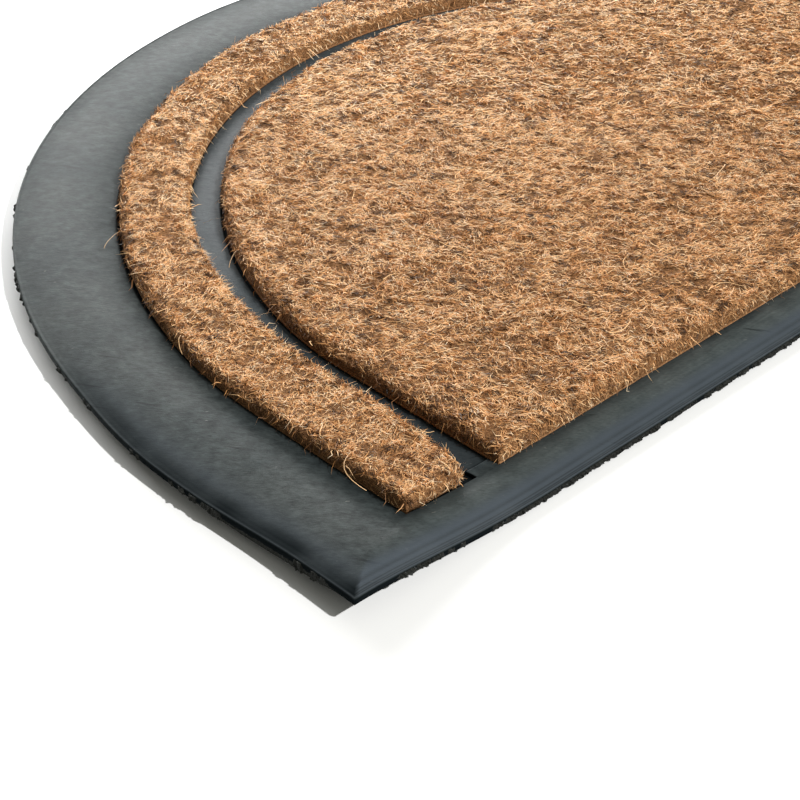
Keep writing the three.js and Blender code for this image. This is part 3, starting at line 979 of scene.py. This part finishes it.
# Long loose fibres: plan place, heights at both ends, heading, length, turn and width. Then the number of
# short ones strewn over the panel, their shade and where they may lie.
LOOSE = [
    (-378, -226, 15.8, 6.0, 145, 36, 170, 0.4), (-391, -226, 11.0, 6.5, 255, 8, 20, 0.35),
    (-347, -232, 16.5, 16.8, -52, 10, 10, 0.4), (-333, 44, 15.5, 8.5, 150, 18, 60, 0.6),
    (-379, -72, 13.5, 6.5, 205, 12, 60, 0.5), (-344, 2, 16.6, 14.0, 144, 14, 15, 2.0),
    (-273, 22, 14.5, 7.5, 155, 15, -70, 0.5), (-291, -17, 14.5, 7.5, 175, 13, 45, 0.5),
    (-321, -91, 14.5, 8.0, 95, 17, 75, 0.5), (-323, -143, 12.0, 14.5, -57, 14, 20, 0.6),
    (-330, -130, 15.0, 9.0, 80, 13, -60, 0.5), (15, -157, 17.0, 16.8, 205, 28, -20, 0.6),
    (-319, -262, 13.0, 6.5, -95, 10, 60, 0.6), (-352, -212, 15.0, 15.5, 60, 12, -80, 0.5),
    (-200, -240, 16.5, 16.6, -30, 22, 70, 0.5), (-120, -60, 16.8, 16.6, 10, 26, -80, 0.5),
]
HAIR_STEPS = 9
HAIR_COUNT = 90
HAIR_SHADE = 0.74
HAIR_BOUNDS = (-330, 100, FRONT_Y, 230)


def hair(x, y, start, end, heading, length, turn, width):
    """One long fibre as a narrow ribbon that turns evenly as it goes."""
    t = np.linspace(0, 1, HAIR_STEPS + 1)
    way = np.radians(heading + turn * (t[:-1] + t[1:]) / 2)
    step = length / HAIR_STEPS
    plan = np.cumsum(np.vstack([[x, y], step * np.column_stack([np.cos(way), np.sin(way)])]), axis=0)
    way = np.append(way, way[-1])
    sway = 0.4 * np.sin(2 * math.pi * t * 1.5 + heading)
    side = np.column_stack([-np.sin(way), np.cos(way), np.full(len(t), 0.5)])
    side *= (width * (1 - 0.4 * t) / 2)[:, None]
    centre = placed(plan, start + (end - start) * t * t + sway)
    k = 2 * np.arange(HAIR_STEPS)[:, None]
    triangles = np.concatenate([k + [0, 1, 3], k + [0, 3, 2]])
    points = np.stack([centre - side, centre + side], 1).reshape(-1, 3)
    return points, triangles, np.full(len(points), HAIR_SHADE)


def loose_fibres(material):
    rng = np.random.default_rng(9)
    parts = [hair(*row) for row in LOOSE]
    plan = scatter(rng, HAIR_COUNT, lambda x, y: (PANEL.distance(x, y) > 12) & (share_shown(x, y) > 0.5),
                   HAIR_BOUNDS)
    for x, y in plan:
        z = PANEL.body(np.array([x]), np.array([y]))[0] + rng.uniform(0.8, 1.4)
        parts.append(hair(x, y, z, z + rng.uniform(-1.5, 0.3), rng.uniform(0, 360), rng.uniform(9, 20),
                          rng.uniform(-120, 120), rng.uniform(0.3, 0.5)))
    return fibre_object("loose_fibres", parts, material)


def share_shown(x, y):
    """1 on the left front half that the shot shows, and 0 on the far half, which has fewer, wider fibres."""
    return 1 - smoothstep(x + y, -110, 40)


def thinned(rng, plan):
    """Plan points with the far half's share taken out."""
    share = FAR_SHARE + (1 - FAR_SHARE) * share_shown(*plan.T)
    return rng.random(len(plan)) < share


def run_samples(rng, plan, outward, count):
    """Random places along a run of plan points, with the outward vectors there."""
    step = np.linalg.norm(np.diff(plan, axis=0), axis=1)
    along = np.concatenate([[0], np.cumsum(step)])
    at = rng.uniform(0, along[-1], count)
    place, out = (np.column_stack([np.interp(at, along, row) for row in rows.T]) for rows in (plan, outward))
    return place, unit(out)


def edge_fibres(rng, pile, run, outward, spread, swirl):
    """Fibres of one run of a pile's side: its upright wall and its rounded rim."""
    length = np.linalg.norm(np.diff(run, axis=0), axis=1).sum()
    wall_count = int(length * (np.mean(wall_height(pile, run)) - BASE_TOP + 2) * DENSITY)
    place, out = run_samples(rng, run, outward, wall_count)
    kept = thinned(rng, place)
    if pile is BAND:
        place = clear_of_cut(place)
    parts = wall_fibres(rng, pile, place[kept], out[kept])
    rim_d, rim_z = RIM_DISTANCE[:RIM_POINTS], RIM_HEIGHT[:RIM_POINTS]
    slope = np.concatenate([[0], np.cumsum(np.hypot(np.diff(rim_d), np.diff(rim_z)))])
    rim_count = int(length * slope[-1] * DENSITY)
    place, out = run_samples(rng, run, outward, rim_count)
    d = np.interp(rng.uniform(0, slope[-1], rim_count), slope, rim_d)
    plan = place - out * d[:, None]
    plan = plan[(pile.distance(*plan.T) > d - 1.2) & thinned(rng, plan)]
    return parts + pile_fibres(rng, pile, plan, spread, swirl, short=0.85)


def panel_piles(material):
    rng = np.random.default_rng(7)
    bounds = (-PANEL_RADIUS, PANEL_RADIUS, FRONT_Y, ARCH_CENTRE_Y + PANEL_RADIUS)
    plan = scatter(rng, int(PANEL_AREA * DENSITY), lambda x, y: PANEL.covers(x, y, margin=4), bounds)
    plan = plan[thinned(rng, plan)]
    plan = plan[np.argsort(plan[:, 0] + plan[:, 1])]
    pieces = []
    for k, part in enumerate(np.array_split(plan, PANEL_PIECES)):
        parts = pile_fibres(rng, PANEL, part, spread=0.48, swirl=0.8, short=0.88)
        pieces.append(fibre_object(f"panel_pile_{k + 1}", parts, material))
    ring, outward = closed_ring(PANEL.outer, FRONT_BORDER + SIDE_GAP, SIDE_STEPS, SIDE_ARC_STEPS, FRONT_STEPS)
    ring, outward = np.vstack([ring, ring[:1]]), np.vstack([outward, outward[:1]])
    ring = ring - outward * left_gap(*ring.T)[:, None]
    sides = edge_fibres(rng, PANEL, ring, outward, spread=0.35, swirl=0.6)
    return pieces + [fibre_object("panel_side_pile", sides, material)]


def band_piles(material):
    rng = np.random.default_rng(8)
    outer_radius = ARCH_RADIUS - ARCH_BORDER
    area = plan_area(outer_radius, BAND.front) - plan_area(outer_radius - BAND_WIDTH, BAND.front)
    bounds = (-outer_radius, outer_radius, FRONT_Y, ARCH_CENTRE_Y + outer_radius)
    count = int(area * BAND_TOP_SHARE * DENSITY * BAND_EXTRA)
    plan = scatter(rng, count, lambda x, y: BAND.covers(x, y, margin=3.5), bounds)
    plan = plan[thinned(rng, plan)]
    parts = pile_fibres(rng, BAND, plan, spread=0.8, swirl=1.0, short=0.68, bend=0.5, wave=0.25)
    top = fibre_object("band_pile", parts, material)
    straight = np.linspace(BAND.front, ARCH_CENTRE_Y, SIDE_STEPS, endpoint=False)
    outer = pushed_in(arch_points(BAND.outer, straight, SIDE_ARC_STEPS))
    inner = arch_points(BAND.inner, straight, SIDE_ARC_STEPS)
    parts = []
    for run, sign in ((outer, 1), (inner, -1)):
        parts += edge_fibres(rng, BAND, run, sign * arch_outward(run), spread=0.5, swirl=0.9)
    for k in (0, -1):
        end = np.linspace(outer[k], inner[k], END_STEPS)
        parts += edge_fibres(rng, BAND, end, np.tile([0.0, -1.0], (END_STEPS, 1)), spread=0.5, swirl=0.9)
    return [top, fibre_object("band_side_pile", parts, material)]


# Floor, lights and camera.


def build_stage():
    material, tree, shader = new_material("floor")
    put(tree, shader, Base_Color=(0.84, 0.845, 0.85), Roughness=0.6)
    bpy.ops.mesh.primitive_plane_add(size=12, location=(0, 0, 0))
    floor = bpy.context.object
    floor.name = "floor"
    floor.data.materials.append(material)

    world = bpy.data.worlds.new("studio")
    bpy.context.scene.world = world
    world.use_nodes = True
    put(world.node_tree, world.node_tree.nodes["Background"], Color=(1.0, 1.0, 0.9), Strength=0.24)

    key = bpy.data.lights.new("key", "SUN")
    key.energy = 4.0
    key.angle = math.radians(2.2)
    key.color = (1.0, 0.99, 0.97)
    linked("key", key).rotation_euler = KEY_DIRECTION.to_track_quat("Z", "Y").to_euler()

    softbox = bpy.data.lights.new("softbox", "AREA")
    softbox.shape = "RECTANGLE"
    softbox.size, softbox.size_y = SOFTBOX_SIZE
    softbox.energy = 48
    softbox_object = linked("softbox", softbox)
    softbox_object.location = SOFTBOX_PLACE
    softbox_object.rotation_euler = (SOFTBOX_AIM - SOFTBOX_PLACE).to_track_quat("-Z", "Y").to_euler()


def build_camera():
    a, e = CAMERA_AZIMUTH, CAMERA_ELEVATION
    back = Vector((math.sin(a) * math.cos(e), -math.cos(a) * math.cos(e), math.sin(e)))
    right = Vector((math.cos(a), math.sin(a), 0))
    up = back.cross(right)
    data = bpy.data.cameras.new("camera")
    data.sensor_width = SENSOR
    data.lens = SENSOR * FOCAL_PIXELS / FRAME_PIXELS
    data.clip_start = 0.01
    camera = linked("camera", data)
    camera.matrix_world = Matrix.Translation(CAMERA_PLACE) @ Matrix((right, up, back)).transposed().to_4x4()
    bpy.context.scene.camera = camera


build_camera()
build_stage()
bpy.context.scene.view_settings.view_transform = "Standard"

rubber = rubber_material()
tray = rubber_tray(rubber)
flash = rim_flash(flash_material())
groove = groove_strip(rubber)
bed = bed_material()
band = band_bed(bed)
panel = panel_bed(bed)
fibre = fibre_material()
panel_pieces = panel_piles(fibre)
band_pieces = band_piles(fibre)
band_pieces.append(loose_fibres(fibre))

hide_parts("rubber_base")
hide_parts("coir_band")
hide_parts("coir_field")
for piece in (tray, flash, groove):
    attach(piece, "root")
for piece in (band, panel, *band_pieces, *panel_pieces):
    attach(piece, "root")
